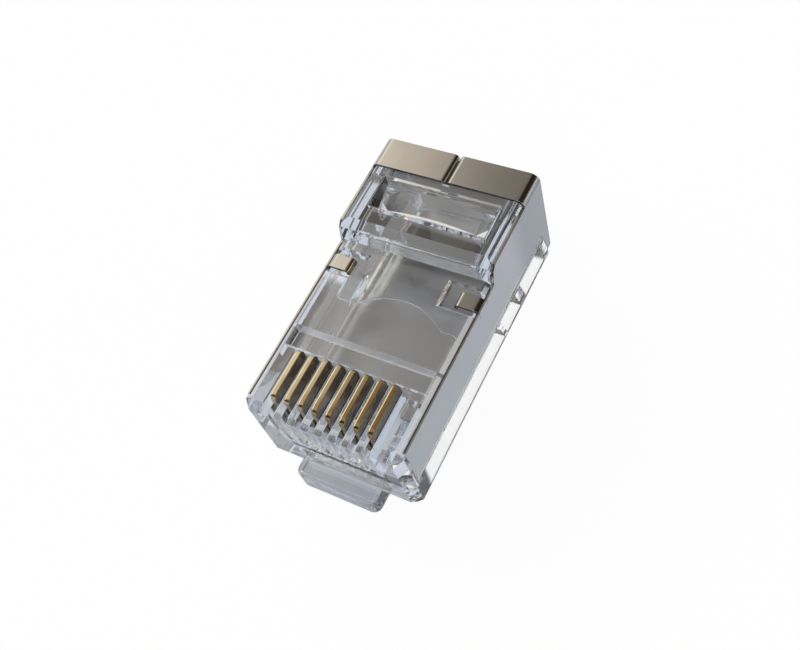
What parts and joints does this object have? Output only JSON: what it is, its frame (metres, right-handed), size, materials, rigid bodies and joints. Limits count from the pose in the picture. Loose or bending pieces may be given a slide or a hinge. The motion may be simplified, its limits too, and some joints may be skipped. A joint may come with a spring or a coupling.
{
  "type": "modular plug",
  "caption": "Clear shielded modular plug with flat blade contacts, folded sheet shield, strain relief window and sprung latch.",
  "frame": {"origin": "middle of the nose face, on the plug's middle plane and half way up the nose", "axes": "+X across the plug, +Y from the nose to the cable end, +Z to the contact side, -Z to the latch"},
  "size_m": [0.0116, 0.0227, 0.0127],
  "materials": {
    "clear_plastic": "clear polished polycarbonate",
    "shield_sheet": "nickel-plated brass sheet, bright",
    "gilt_contact": "gold flash over bronze"
  },
  "bodies": {
    "plug_body": {"housing": "clear_plastic", "shield": "shield_sheet", "contact_1": "gilt_contact", "contact_2": "gilt_contact", "contact_3": "gilt_contact", "contact_4": "gilt_contact", "contact_5": "gilt_contact", "contact_6": "gilt_contact", "contact_7": "gilt_contact", "contact_8": "gilt_contact"},
    "latch_arm": {"latch": "clear_plastic"}
  },
  "joints": [
    {"name": "latch_press", "type": "hinge", "parent": "plug_body", "child": "latch_arm", "pos_m": [0, 0.0019, -0.00325], "axis": [1, 0, 0], "range_deg": [0, 10], "stiffness_Nm_per_rad": 0.4}
  ]
}
